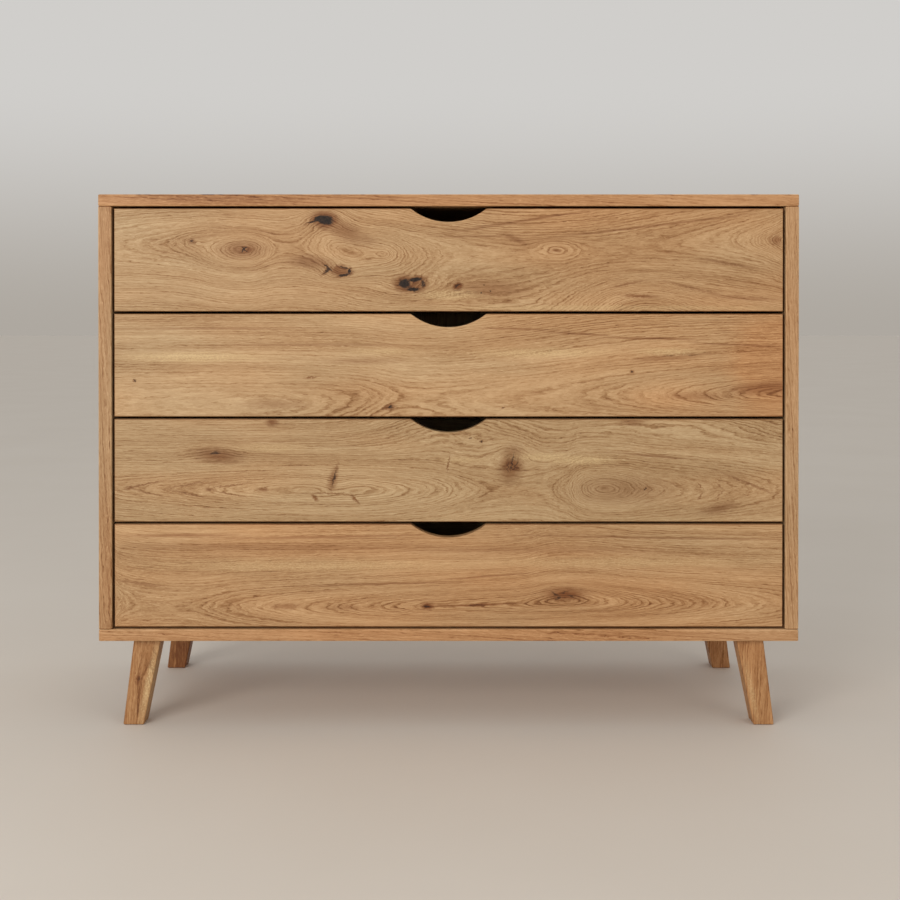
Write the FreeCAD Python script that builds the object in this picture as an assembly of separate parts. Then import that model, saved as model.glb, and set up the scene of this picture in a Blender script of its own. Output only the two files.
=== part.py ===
"""Wide chest of four drawers in solid oak, on four splayed legs.

Units are millimetres.  The origin is on the floor under the middle of the chest.
+X is to the right, -Y is the front and +Z is up.  Drawers count from the top.
"""

import FreeCAD, Part

import math
import os

# Driving dimensions of the whole chest
WIDTH = 1200.0
DEPTH = 450.0
LEG_HEIGHT = 150.0
CARCASS_HEIGHT = 766.0
BOARD = 20.0
SIDE_BOARD = 22.5
BOARD_ROUND = 2.0
DRAWERS = 4

# Drawer fronts, inset between the carcass boards
FRONT_RECESS = 3.0
FRONT_THICKNESS = 20.0
FRONT_ROUND = 1.5
FRONT_GAP = 4.0
FRONT_SIDE_GAP = 4.0
CUTOUT_CHORD = 130.0
CUTOUT_DEPTH = 23.0
CUTOUT_CORNER = 5.0

# Drawer boxes
BOX_LIFT = 12.0
BOX_HEIGHT = 130.0
BOX_BOARD = 15.0
BOX_ROUND = 1.5
BOX_TONGUE = 8.0
BOX_HOUSING = 5.0
BOTTOM_THICKNESS = 6.0
BOTTOM_LIFT = 10.0
BOTTOM_TONGUE = 6.0

# Back of the carcass
BACK_THICKNESS = 6.0
BACK_INSET = 8.0
REBATE = 10.0
BACK_CLEARANCE = 0.5

# Legs, splayed to the sides only
LEG_SETBACK = 20.0
LEG_DEPTH = 40.0
LEG_TOP_WIDTH = 47.0
LEG_FOOT_WIDTH = 35.5
LEG_TOP_INSET = 55.8
LEG_FOOT_INSET = 36.8
LEG_ROUND = 2.5

# Telescopic ball-bearing rails, three nested channels a side
RAIL_LENGTH = 400.0
RAIL_SPACE = 12.7
RAIL_SHEET = 1.2
RAIL_LIFT = 50.0
CABINET_RAIL = {"half_height": 22.5, "near": 0.0, "far": 9.5}
MIDDLE_RAIL = {"half_height": 18.6, "near": 3.8, "far": 11.2}
DRAWER_RAIL = {"half_height": 14.2, "near": 6.6, "far": RAIL_SPACE}
BALL_RADIUS = 1.1
BALL_PITCH = 30.0
BALLS_PER_CAGE = 6
CAGE_WIDTH = 4.0
CAGE_THICKNESS = 0.8
CAGE_END = 5.0

# Fasteners
SCREW_RADIUS = 1.75
SCREW_LENGTH = 14.0
SCREW_HEAD_RADIUS = 3.4
SCREW_HEAD_HEIGHT = 1.8
RAIL_SCREW_STATIONS = (-160.0, 0.0, 160.0)
BACK_SCREWS_ACROSS = 6
BACK_SCREWS_UP = 4
BOTTOM_SCREW_STATIONS = (-400.0, 0.0, 400.0)
DOWEL_RADIUS = 4.0
DOWEL_LENGTH = 30.0
DOWEL_IN_SLAB = 12.0
DOWELS_PER_CORNER = 6
DOWEL_END_DISTANCE = 35.0
BOLT_RADIUS = 4.0
BOLT_IN_SLAB = 14.0
BOLT_IN_LEG = 42.0
INSERT_RADIUS = 6.0
INSERT_LENGTH = 15.0
LEG_BOLT_SHIFT = -8.0
LEG_DOWEL_SHIFT = 10.0

# Planes worked out from the driving dimensions
HALF_WIDTH = WIDTH / 2
FRONT_PLANE = -DEPTH / 2
BACK_PLANE = DEPTH / 2
TOP = LEG_HEIGHT + CARCASS_HEIGHT
BAY_FLOOR = LEG_HEIGHT + BOARD
BAY_CEILING = TOP - BOARD
BAY_HALF_WIDTH = HALF_WIDTH - SIDE_BOARD
FRONT_FACE = FRONT_PLANE + FRONT_RECESS
FRONT_REAR = FRONT_FACE + FRONT_THICKNESS
FRONT_HALF_WIDTH = BAY_HALF_WIDTH - FRONT_SIDE_GAP
FRONT_HEIGHT = (BAY_CEILING - BAY_FLOOR - (DRAWERS + 1) * FRONT_GAP) / DRAWERS
BOX_HALF_WIDTH = BAY_HALF_WIDTH - RAIL_SPACE
BOX_INNER_HALF = BOX_HALF_WIDTH - BOX_BOARD
RAIL_FRONT = -RAIL_LENGTH / 2
BOX_REAR = RAIL_LENGTH / 2
BOX_BACK_FACE = BOX_REAR - BOX_BOARD
BACK_OUTER_FACE = BACK_PLANE - BACK_INSET
BACK_INNER_FACE = BACK_OUTER_FACE - BACK_THICKNESS
LEG_TOP_OUTER = HALF_WIDTH - LEG_TOP_INSET
LEG_FOOT_OUTER = HALF_WIDTH - LEG_FOOT_INSET
LEG_TOP_MIDDLE = LEG_TOP_OUTER - LEG_TOP_WIDTH / 2
LEG_MIDDLE_Y = DEPTH / 2 - LEG_SETBACK - LEG_DEPTH / 2

X_AXIS = FreeCAD.Vector(1, 0, 0)
Y_AXIS = FreeCAD.Vector(0, 1, 0)
Z_AXIS = FreeCAD.Vector(0, 0, 1)
SIDES = {"left": -1, "right": 1}
ENDS = {"front": -1, "rear": 1}


def block(x, y, z):
    """A block between the low and high limits given for each axis."""
    corner = FreeCAD.Vector(min(x), min(y), min(z))
    return Part.makeBox(abs(x[1] - x[0]), abs(y[1] - y[0]), abs(z[1] - z[0]), corner)


def rod(radius, length, start, direction):
    """A plain round rod from a point along a direction."""
    return Part.makeCylinder(radius, length, start, direction)


def cut_all(shape, tools):
    """The shape with every tool cut away from it."""
    return shape.cut(tools).removeSplitter()


def edges_on_plane(shape, axis, value):
    """The edges that lie wholly in the plane where one coordinate has a value."""
    found = []
    for edge in shape.Edges:
        box = edge.BoundBox
        low = getattr(box, axis + "Min")
        high = getattr(box, axis + "Max")
        if abs(low - value) < 0.01 and abs(high - value) < 0.01:
            found.append(edge)
    return found


def rounded_board(x, y, z, radius):
    """A board with every arris rounded."""
    board = block(x, y, z)
    return board.makeFillet(radius, board.Edges)


def spread(low, high, count):
    """Evenly spaced values from low to high."""
    step = (high - low) / (count - 1)
    return [low + step * index for index in range(count)]


# Drawer levels

def front_floor(number):
    """Height of the lower edge of a drawer's front."""
    return BAY_CEILING - number * (FRONT_HEIGHT + FRONT_GAP)


def box_floor(number):
    """Height of the lower edge of a drawer's box."""
    return front_floor(number) + BOX_LIFT


def rail_height(number):
    """Height of the middle of a drawer's rails."""
    return box_floor(number) + RAIL_LIFT


# Places of the fasteners, each a point and the direction of the shank or axis

def back_screw_places():
    """Screws through the back panel into the step of the rebate."""
    step = REBATE / 2
    x_limit = BAY_HALF_WIDTH + step
    low = BAY_FLOOR - step
    high = BAY_CEILING + step
    points = []
    for x in spread(-x_limit, x_limit, BACK_SCREWS_ACROSS):
        points += [(x, low), (x, high)]
    for z in spread(low, high, BACK_SCREWS_UP + 2)[1:-1]:
        points += [(-x_limit, z), (x_limit, z)]
    return [(FreeCAD.Vector(x, BACK_OUTER_FACE, z), -Y_AXIS) for x, z in points]


def rail_screw_places(number, side, web_face, outward):
    """Screws through the web of a rail, into the side panel or the drawer's side."""
    places = []
    for y in RAIL_SCREW_STATIONS:
        point = FreeCAD.Vector(side * web_face, y, rail_height(number))
        places.append((point, X_AXIS * (side * outward)))
    return places


def cabinet_rail_screw_places(number, side):
    return rail_screw_places(number, side, BAY_HALF_WIDTH - RAIL_SHEET, 1)


def drawer_rail_screw_places(number, side):
    return rail_screw_places(number, side, BOX_HALF_WIDTH + RAIL_SHEET, -1)


def bottom_screw_places(number):
    """Screws through the drawer's bottom into its back."""
    y = BOX_REAR - BOX_BOARD / 2
    z = box_floor(number) + BOTTOM_LIFT
    return [(FreeCAD.Vector(x, y, z), Z_AXIS) for x in BOTTOM_SCREW_STATIONS]


def corner_dowel_places():
    """Dowels between the slabs and the side panels."""
    end = DEPTH / 2 - DOWEL_END_DISTANCE
    places = []
    for side in SIDES.values():
        x = side * (HALF_WIDTH - SIDE_BOARD / 2)
        for y in spread(-end, end, DOWELS_PER_CORNER):
            places.append((FreeCAD.Vector(x, y, BAY_CEILING + DOWEL_IN_SLAB), -Z_AXIS))
            places.append((FreeCAD.Vector(x, y, BAY_FLOOR - DOWEL_IN_SLAB), Z_AXIS))
    return places


def leg_places():
    """Side and end of each leg."""
    return [(side, end) for end in ENDS.values() for side in SIDES.values()]


def leg_axis_point(side, end, shift, height):
    """A point above a leg, shifted along the depth from the leg's middle."""
    return FreeCAD.Vector(side * LEG_TOP_MIDDLE, end * LEG_MIDDLE_Y + shift, height)


def leg_dowel_places():
    """Dowels that stop each leg from turning."""
    height = LEG_HEIGHT + DOWEL_IN_SLAB
    return [(leg_axis_point(side, end, LEG_DOWEL_SHIFT, height), -Z_AXIS)
            for side, end in leg_places()]


def leg_bolt_places():
    """Hanger bolts that pull each leg up against the lower slab."""
    height = LEG_HEIGHT + BOLT_IN_SLAB
    return [(leg_axis_point(side, end, LEG_BOLT_SHIFT, height), -Z_AXIS)
            for side, end in leg_places()]


# Fasteners

def screw_holes(places):
    """Holes that exactly fit the shanks of the screws at these places."""
    return [rod(SCREW_RADIUS, SCREW_LENGTH, point, way) for point, way in places]


def dowel_holes(places):
    """Holes that exactly fit the dowels at these places."""
    return [rod(DOWEL_RADIUS, DOWEL_LENGTH, point, way) for point, way in places]


def make_screw():
    """One pan-head screw, its shank down -Z from the underside of its head."""
    head = rod(SCREW_HEAD_RADIUS, SCREW_HEAD_HEIGHT, FreeCAD.Vector(), Z_AXIS)
    rim = edges_on_plane(head, "Z", SCREW_HEAD_HEIGHT)
    head = head.makeFillet(SCREW_HEAD_HEIGHT / 2, rim)
    tip_length = 2 * SCREW_RADIUS
    shank_length = SCREW_LENGTH - tip_length
    shank = rod(SCREW_RADIUS, shank_length, FreeCAD.Vector(), -Z_AXIS)
    tip_start = FreeCAD.Vector(0, 0, -shank_length)
    tip = Part.makeCone(SCREW_RADIUS, SCREW_RADIUS / 4, tip_length, tip_start, -Z_AXIS)
    screw = head.fuse([shank, tip]).removeSplitter()
    slot_half = SCREW_HEAD_RADIUS * 0.6
    blade_half = SCREW_HEAD_RADIUS * 0.13
    depth = (SCREW_HEAD_HEIGHT * 0.35, SCREW_HEAD_HEIGHT + 1)
    across = block((-slot_half, slot_half), (-blade_half, blade_half), depth)
    along = block((-blade_half, blade_half), (-slot_half, slot_half), depth)
    return screw.cut([across, along])


def placed_screws(places):
    """Screws at these places, with their heads proud of the surface."""
    screw = make_screw()
    screws = []
    for point, way in places:
        turn = FreeCAD.Rotation(-Z_AXIS, way)
        copy = screw.copy()
        copy.Placement = FreeCAD.Placement(point, turn)
        screws.append(copy)
    return Part.makeCompound(screws)


def make_dowels():
    places = corner_dowel_places() + leg_dowel_places()
    dowels = []
    for point, way in places:
        dowel = rod(DOWEL_RADIUS, DOWEL_LENGTH, point, way)
        ends = [edge for edge in dowel.Edges if edge.Closed]
        dowels.append(dowel.makeChamfer(DOWEL_RADIUS / 5, ends))
    return Part.makeCompound(dowels)


def make_leg_bolts():
    length = BOLT_IN_SLAB + BOLT_IN_LEG
    bolts = [rod(BOLT_RADIUS, length, point, way) for point, way in leg_bolt_places()]
    return Part.makeCompound(bolts)


def make_leg_inserts():
    inserts = []
    for side, end in leg_places():
        seat = leg_axis_point(side, end, LEG_BOLT_SHIFT, LEG_HEIGHT)
        sleeve = rod(INSERT_RADIUS, INSERT_LENGTH, seat, Z_AXIS)
        inserts.append(sleeve.cut(rod(BOLT_RADIUS, INSERT_LENGTH, seat, Z_AXIS)))
    return Part.makeCompound(inserts)


# Carcass

def back_rebate():
    """The space for the back panel, open to the rear."""
    x = BAY_HALF_WIDTH + REBATE
    z = (BAY_FLOOR - REBATE, BAY_CEILING + REBATE)
    return block((-x, x), (BACK_INNER_FACE, BACK_PLANE + 1), z)


def make_slab(z, fittings):
    """A full-width slab, with the rebate and the holes for its fittings."""
    x = (-HALF_WIDTH, HALF_WIDTH)
    slab = rounded_board(x, (FRONT_PLANE, BACK_PLANE), z, BOARD_ROUND)
    return cut_all(slab, [back_rebate()] + fittings)


def make_top_panel():
    fittings = dowel_holes(corner_dowel_places()) + screw_holes(back_screw_places())
    return make_slab((BAY_CEILING, TOP), fittings)


def make_bottom_panel():
    fittings = dowel_holes(corner_dowel_places() + leg_dowel_places())
    fittings += screw_holes(back_screw_places())
    for side, end in leg_places():
        seat = leg_axis_point(side, end, LEG_BOLT_SHIFT, LEG_HEIGHT)
        fittings.append(rod(INSERT_RADIUS, INSERT_LENGTH, seat, Z_AXIS))
    return make_slab((LEG_HEIGHT, BAY_FLOOR), fittings)


def make_side_panel(side):
    x = (side * BAY_HALF_WIDTH, side * HALF_WIDTH)
    z = (BAY_FLOOR, BAY_CEILING)
    panel = rounded_board(x, (FRONT_PLANE, BACK_PLANE), z, BOARD_ROUND)
    fittings = dowel_holes(corner_dowel_places()) + screw_holes(back_screw_places())
    for number in range(1, DRAWERS + 1):
        fittings += screw_holes(cabinet_rail_screw_places(number, side))
    return cut_all(panel, [back_rebate()] + fittings)


def make_back_panel():
    x = BAY_HALF_WIDTH + REBATE - BACK_CLEARANCE
    low = BAY_FLOOR - REBATE + BACK_CLEARANCE
    high = BAY_CEILING + REBATE - BACK_CLEARANCE
    panel = block((-x, x), (BACK_INNER_FACE, BACK_OUTER_FACE), (low, high))
    return cut_all(panel, screw_holes(back_screw_places()))


def make_leg(side, end):
    """A leg that tapers to the floor and leans outwards."""
    outline = [
        (LEG_TOP_OUTER - LEG_TOP_WIDTH, LEG_HEIGHT),
        (LEG_TOP_OUTER, LEG_HEIGHT),
        (LEG_FOOT_OUTER, 0),
        (LEG_FOOT_OUTER - LEG_FOOT_WIDTH, 0),
    ]
    y = end * LEG_MIDDLE_Y - LEG_DEPTH / 2
    points = [FreeCAD.Vector(side * x, y, z) for x, z in outline]
    face = Part.Face(Part.makePolygon(points + points[:1]))
    leg = face.extrude(Y_AXIS * LEG_DEPTH)
    joint_edges = edges_on_plane(leg, "Z", LEG_HEIGHT)
    rounded = [edge for edge in leg.Edges if not any(edge.isSame(other) for other in joint_edges)]
    leg = leg.makeFillet(LEG_ROUND, rounded)
    bolts = [rod(BOLT_RADIUS, BOLT_IN_SLAB + BOLT_IN_LEG, point, way)
             for point, way in leg_bolt_places()]
    return cut_all(leg, bolts + dowel_holes(leg_dowel_places()))


# Drawers

def front_outline(low, high):
    """Outline of a drawer front, with the curved finger cutout in its top edge."""
    radius = ((CUTOUT_CHORD / 2) ** 2 + CUTOUT_DEPTH ** 2) / (2 * CUTOUT_DEPTH)
    centre_z = high - CUTOUT_DEPTH + radius
    corner_z = high - CUTOUT_CORNER
    corner_x = math.sqrt((radius + CUTOUT_CORNER) ** 2 - (centre_z - corner_z) ** 2)
    lean = math.atan2(corner_x, centre_z - corner_z)

    def at(x, z):
        return FreeCAD.Vector(x, FRONT_FACE, z)

    def corner_arc(side):
        meet = at(side * radius * math.sin(lean), centre_z - radius * math.cos(lean))
        bend_x = corner_x - CUTOUT_CORNER * math.sin(lean / 2)
        bend = at(side * bend_x, corner_z + CUTOUT_CORNER * math.cos(lean / 2))
        return meet, bend, at(side * corner_x, high)

    right_meet, right_bend, right_top = corner_arc(1)
    left_meet, left_bend, left_top = corner_arc(-1)
    right_high = at(FRONT_HALF_WIDTH, high)
    right_low = at(FRONT_HALF_WIDTH, low)
    left_low = at(-FRONT_HALF_WIDTH, low)
    left_high = at(-FRONT_HALF_WIDTH, high)
    curves = [
        Part.LineSegment(left_top, left_high),
        Part.LineSegment(left_high, left_low),
        Part.LineSegment(left_low, right_low),
        Part.LineSegment(right_low, right_high),
        Part.LineSegment(right_high, right_top),
        Part.Arc(right_top, right_bend, right_meet),
        Part.Arc(right_meet, at(0, high - CUTOUT_DEPTH), left_meet),
        Part.Arc(left_meet, left_bend, left_top),
    ]
    return Part.Wire([curve.toShape() for curve in curves])


def bottom_board(number):
    """The space that a drawer's bottom fills."""
    x = BOX_INNER_HALF + BOTTOM_TONGUE
    low = box_floor(number) + BOTTOM_LIFT
    return block((-x, x), (FRONT_REAR - BOTTOM_TONGUE, BOX_REAR), (low, low + BOTTOM_THICKNESS))


def side_board(number, side):
    """The space that a drawer's side fills, with its tongue in the front."""
    x = (side * BOX_INNER_HALF, side * BOX_HALF_WIDTH)
    low = box_floor(number)
    return block(x, (FRONT_REAR - BOX_TONGUE, BOX_REAR), (low, low + BOX_HEIGHT))


def back_board(number):
    """The space that a drawer's back fills, housed in both sides."""
    x = BOX_INNER_HALF + BOX_HOUSING
    low = box_floor(number) + BOTTOM_LIFT + BOTTOM_THICKNESS
    high = box_floor(number) + BOX_HEIGHT
    return block((-x, x), (BOX_BACK_FACE, BOX_REAR), (low, high))


def make_front(number):
    low = front_floor(number)
    outline = front_outline(low, low + FRONT_HEIGHT)
    front = Part.Face(outline).extrude(Y_AXIS * FRONT_THICKNESS)
    front = front.makeFillet(FRONT_ROUND, edges_on_plane(front, "Y", FRONT_FACE))
    housings = [side_board(number, side) for side in SIDES.values()]
    return cut_all(front, housings + [bottom_board(number)])


def make_drawer_side(number, side):
    board = side_board(number, side)
    high = box_floor(number) + BOX_HEIGHT
    top_edges = [edge for edge in edges_on_plane(board, "Z", high) if edge.Length > 2 * BOX_BOARD]
    board = board.makeFillet(BOX_ROUND, top_edges)
    holes = screw_holes(drawer_rail_screw_places(number, side))
    return cut_all(board, [bottom_board(number), back_board(number)] + holes)


def make_drawer_back(number):
    return cut_all(back_board(number), screw_holes(bottom_screw_places(number)))


def make_drawer_bottom(number):
    return cut_all(bottom_board(number), screw_holes(bottom_screw_places(number)))


def make_drawer_screws(number):
    places = bottom_screw_places(number)
    for side in SIDES.values():
        places += drawer_rail_screw_places(number, side)
    return placed_screws(places)


# Rails

def channel(number, side, rail, web_at_cabinet, holes):
    """One rail member: a web with a flange along its top and bottom."""
    half = rail["half_height"]
    middle = rail_height(number)

    def across(near, far):
        return (side * (BAY_HALF_WIDTH - near), side * (BAY_HALF_WIDTH - far))

    length = (RAIL_FRONT, RAIL_FRONT + RAIL_LENGTH)
    body = block(across(rail["near"], rail["far"]), length, (middle - half, middle + half))
    if web_at_cabinet:
        hollow_x = across(rail["near"] + RAIL_SHEET, rail["far"] + 1)
    else:
        hollow_x = across(rail["near"] - 1, rail["far"] - RAIL_SHEET)
    open_length = (length[0] - 1, length[1] + 1)
    inner = half - RAIL_SHEET
    hollow = block(hollow_x, open_length, (middle - inner, middle + inner))
    return cut_all(body, [hollow] + holes)


def make_cabinet_rail(number, side):
    holes = screw_holes(cabinet_rail_screw_places(number, side))
    return channel(number, side, CABINET_RAIL, True, holes)


def make_middle_rails(number):
    rails = [channel(number, side, MIDDLE_RAIL, True, []) for side in SIDES.values()]
    return Part.makeCompound(rails)


def make_drawer_rails(number):
    rails = []
    for side in SIDES.values():
        holes = screw_holes(drawer_rail_screw_places(number, side))
        rails.append(channel(number, side, DRAWER_RAIL, False, holes))
    return Part.makeCompound(rails)


def ball_cage(x, start, z):
    """A strip that holds a row of balls in the space between two flanges."""
    length = (BALLS_PER_CAGE - 1) * BALL_PITCH + 2 * CAGE_END
    half_width = CAGE_WIDTH / 2
    half_thickness = CAGE_THICKNESS / 2
    strip = block((x - half_width, x + half_width), (start, start + length),
                  (z - half_thickness, z + half_thickness))
    balls = []
    for index in range(BALLS_PER_CAGE):
        centre = FreeCAD.Vector(x, start + CAGE_END + index * BALL_PITCH, z)
        balls.append(Part.makeSphere(BALL_RADIUS, centre))
    return strip.fuse(balls)


def make_ball_cages(number):
    """Outer cages in the rear half of the middle rails, inner cages in the front half."""
    outer_gap = (MIDDLE_RAIL["half_height"] + CABINET_RAIL["half_height"] - RAIL_SHEET) / 2
    inner_gap = (DRAWER_RAIL["half_height"] + MIDDLE_RAIL["half_height"] - RAIL_SHEET) / 2
    outer_x = (MIDDLE_RAIL["near"] + CABINET_RAIL["far"]) / 2
    inner_x = (DRAWER_RAIL["near"] + MIDDLE_RAIL["far"]) / 2
    cages = []
    for side in SIDES.values():
        for way in (-1, 1):
            middle = rail_height(number)
            outer = side * (BAY_HALF_WIDTH - outer_x)
            inner = side * (BAY_HALF_WIDTH - inner_x)
            cages.append(ball_cage(outer, CAGE_END, middle + way * outer_gap))
            cages.append(ball_cage(inner, RAIL_FRONT + CAGE_END, middle + way * inner_gap))
    return Part.makeCompound(cages)


# Assembly

def carcass_nodes():
    nodes = {
        "top_panel": make_top_panel(),
        "bottom_panel": make_bottom_panel(),
        "back_panel": make_back_panel(),
        "dowels": make_dowels(),
        "leg_bolts": make_leg_bolts(),
        "leg_inserts": make_leg_inserts(),
        "back_panel_screws": placed_screws(back_screw_places()),
    }
    for name, side in SIDES.items():
        nodes[f"{name}_side_panel"] = make_side_panel(side)
    for end_name, end in ENDS.items():
        for side_name, side in SIDES.items():
            nodes[f"leg_{end_name}_{side_name}"] = make_leg(side, end)
    rail_screws = []
    for number in range(1, DRAWERS + 1):
        for name, side in SIDES.items():
            nodes[f"cabinet_rail_{number}_{name}"] = make_cabinet_rail(number, side)
            rail_screws += cabinet_rail_screw_places(number, side)
    nodes["cabinet_rail_screws"] = placed_screws(rail_screws)
    return nodes


def drawer_nodes(number):
    prefix = f"drawer_{number}_"
    nodes = {
        prefix + "front": make_front(number),
        prefix + "back": make_drawer_back(number),
        prefix + "bottom": make_drawer_bottom(number),
        prefix + "rails": make_drawer_rails(number),
        prefix + "screws": make_drawer_screws(number),
        prefix + "middle_rails": make_middle_rails(number),
        prefix + "ball_cages": make_ball_cages(number),
    }
    for name, side in SIDES.items():
        nodes[f"{prefix}{name}_side"] = make_drawer_side(number, side)
    return nodes


def main():
    os.makedirs("parts", exist_ok=True)
    nodes = carcass_nodes()
    for number in range(1, DRAWERS + 1):
        nodes.update(drawer_nodes(number))
    for name, shape in nodes.items():
        shape.exportStep(f"parts/{name}.step")
    print(len(nodes), "nodes")


main()
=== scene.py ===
"""Looks of the oak chest of drawers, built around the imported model.

Lengths are in metres, +X is to the right, -Y is the front and +Z is up.  Every board is
solid, procedural oak: its growth rings are level lines of a field that fills the board,
and eyes, knots and marks bend or stain that field where the real boards have them.
"""

import math

import bpy
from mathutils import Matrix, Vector


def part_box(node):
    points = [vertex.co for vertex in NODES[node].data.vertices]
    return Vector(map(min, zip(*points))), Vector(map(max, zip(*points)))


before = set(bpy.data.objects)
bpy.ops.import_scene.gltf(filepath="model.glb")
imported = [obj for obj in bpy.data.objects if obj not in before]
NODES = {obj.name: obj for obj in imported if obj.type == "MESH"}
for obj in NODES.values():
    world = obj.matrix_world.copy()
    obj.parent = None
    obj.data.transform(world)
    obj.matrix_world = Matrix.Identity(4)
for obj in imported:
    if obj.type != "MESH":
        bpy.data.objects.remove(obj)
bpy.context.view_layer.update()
DRAWERS = 4
MM = 0.001

# Half length in mm above which a mark on the wood keeps a smooth outline
LONG_MARK = 60

# Camera, level with the upper drawers and square to the front
CAMERA_PLACE = (0.0024, -2.566, 0.7264)
CAMERA_PITCH = math.radians(0.415)
CAMERA_LENS = 54.7
CAMERA_SHIFT = -0.15
SENSOR_WIDTH = 36.0
FLOOR_SIZE = 60.0
LIGHT_TARGET = Vector((0.0, 0.0, 0.5))

FLOAT = "NodeSocketFloat"
VECTOR = "NodeSocketVector"
COLOUR = "NodeSocketColor"


def srgb(red, green, blue):
    """A colour given as it looks on a screen, 0 to 255, in the linear form that nodes use."""
    linear = []
    for value in (red, green, blue):
        share = value / 255
        linear.append(share / 12.92 if share <= 0.04045 else ((share + 0.055) / 1.055) ** 2.4)
    return (*linear, 1.0)


# Node trees

class Graph:
    """Adds nodes to one tree.  A value is a number, a tuple or another node's output."""

    def __init__(self, tree):
        self.tree = tree

    def node(self, kind, **settings):
        node = self.tree.nodes.new(kind)
        for name, value in settings.items():
            setattr(node, name, value)
        return node

    def feed(self, socket, value):
        if isinstance(value, bpy.types.NodeSocket):
            self.tree.links.new(value, socket)
        else:
            socket.default_value = value

    def math(self, operation, *values, clamp=False):
        node = self.node("ShaderNodeMath", operation=operation, use_clamp=clamp)
        for socket, value in zip(node.inputs, values):
            self.feed(socket, value)
        return node.outputs[0]

    def vector_math(self, operation, *values):
        node = self.node("ShaderNodeVectorMath", operation=operation)
        for socket, value in zip(node.inputs, values):
            self.feed(socket, value)
        return node.outputs["Value" if operation == "LENGTH" else "Vector"]

    def add(self, *values):
        total = values[0]
        for value in values[1:]:
            total = self.math("ADD", total, value)
        return total

    def times(self, *values):
        product = values[0]
        for value in values[1:]:
            product = self.math("MULTIPLY", product, value)
        return product

    def blend(self, share, first, second):
        """From the first number, at a share of 0, to the second, at a share of 1."""
        return self.math("MULTIPLY_ADD", share, second - first, first)

    def minus(self, first, second):
        return self.math("SUBTRACT", first, second)

    def vector(self, x, y, z):
        node = self.node("ShaderNodeCombineXYZ")
        for socket, value in zip(node.inputs, (x, y, z)):
            self.feed(socket, value)
        return node.outputs[0]

    def parts(self, vector):
        node = self.node("ShaderNodeSeparateXYZ")
        self.feed(node.inputs[0], vector)
        return tuple(node.outputs)

    def noise(self, vector, scale=1.0, detail=2.0, roughness=0.5, colour=False):
        node = self.node("ShaderNodeTexNoise")
        self.feed(node.inputs["Vector"], vector)
        self.feed(node.inputs["Scale"], scale)
        self.feed(node.inputs["Detail"], detail)
        self.feed(node.inputs["Roughness"], roughness)
        return node.outputs["Color" if colour else "Fac"]

    def random(self, value):
        node = self.node("ShaderNodeTexWhiteNoise", noise_dimensions="1D")
        self.feed(node.inputs["W"], value)
        return node.outputs["Value"]

    def rise(self, value, low, high):
        """0 below low and 1 above high, smooth between; low above high turns it over."""
        node = self.node("ShaderNodeMapRange", interpolation_type="SMOOTHSTEP")
        ends = (value, low, high, 0.0, 1.0) if low < high else (value, high, low, 1.0, 0.0)
        for socket, end in zip(node.inputs, ends):
            self.feed(socket, end)
        return node.outputs[0]

    def mix(self, factor, first, second, blend="MIX"):
        node = self.node("ShaderNodeMix", data_type="RGBA", blend_type=blend)
        self.feed(node.inputs["Factor"], factor)
        # The colours share their socket names with the numbers and vectors before them
        self.feed(node.inputs[6], first)
        self.feed(node.inputs[7], second)
        return node.outputs[2]

    def ramp(self, factor, stops):
        node = self.node("ShaderNodeValToRGB")
        elements = node.color_ramp.elements
        while len(elements) < len(stops):
            elements.new(1.0)
        for element, (place, tone) in zip(elements, stops):
            element.position = place
            element.color = tone
        self.feed(node.inputs[0], factor)
        return node.outputs[0]

    def curve(self, share, points):
        """A smooth curve through given points, for shares of 0 to 1."""
        node = self.node("ShaderNodeFloatCurve")
        line = node.mapping.curves[0]
        node.mapping.use_clip = False
        while len(line.points) < len(points):
            line.points.new(0.5, 0.5)
        for point, place in zip(line.points, points):
            point.location = place
        node.mapping.update()
        self.feed(node.inputs["Value"], share)
        return node.outputs[0]

    def group(self, tree, **values):
        node = self.node("ShaderNodeGroup", node_tree=tree)
        for name, value in values.items():
            self.feed(node.inputs[name], value)
        return node.outputs


def new_group(name, inputs, outputs):
    tree = bpy.data.node_groups.new(name, "ShaderNodeTree")
    for label, kind in inputs.items():
        tree.interface.new_socket(label, in_out="INPUT", socket_type=kind)
    for label, kind in outputs.items():
        tree.interface.new_socket(label, in_out="OUTPUT", socket_type=kind)
    graph = Graph(tree)
    given = graph.node("NodeGroupInput").outputs
    result = graph.node("NodeGroupOutput").inputs
    return graph, given, result


def make_ellipse_group():
    """How far a point is from the middle of a turned ellipse, with 1 on its outline."""
    inputs = {"Point": VECTOR, "Centre": VECTOR, "Radii": VECTOR, "Turn": FLOAT}
    graph, given, result = new_group("ellipse", inputs, {"Distance": FLOAT})
    offset = graph.vector_math("SUBTRACT", given["Point"], given["Centre"])
    rotate = graph.node("ShaderNodeVectorRotate", rotation_type="Z_AXIS")
    graph.feed(rotate.inputs["Vector"], offset)
    graph.feed(rotate.inputs["Angle"], given["Turn"])
    scaled = graph.vector_math("DIVIDE", rotate.outputs[0], given["Radii"])
    graph.feed(result["Distance"], graph.vector_math("LENGTH", scaled))
    return graph.tree


ELLIPSE = make_ellipse_group()

# Oak, from clear pale wood to the darkest line of a growth ring
OAK_STOPS = (
    (0.00, srgb(210, 174, 136)),
    (0.25, srgb(194, 156, 117)),
    (0.50, srgb(175, 135, 96)),
    (0.75, srgb(146, 103, 65)),
    (1.00, srgb(104, 61, 30)),
)
KNOT_BLACK = srgb(20, 8, 2)
KNOT_GREY = srgb(46, 30, 18)
KNOT_STAIN = (0.41, 0.22, 0.09, 1.0)
KNOT_PALE = srgb(208, 181, 134)
COOL_TINT = srgb(240, 253, 255)
WARM_TINT = srgb(255, 244, 228)

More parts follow.
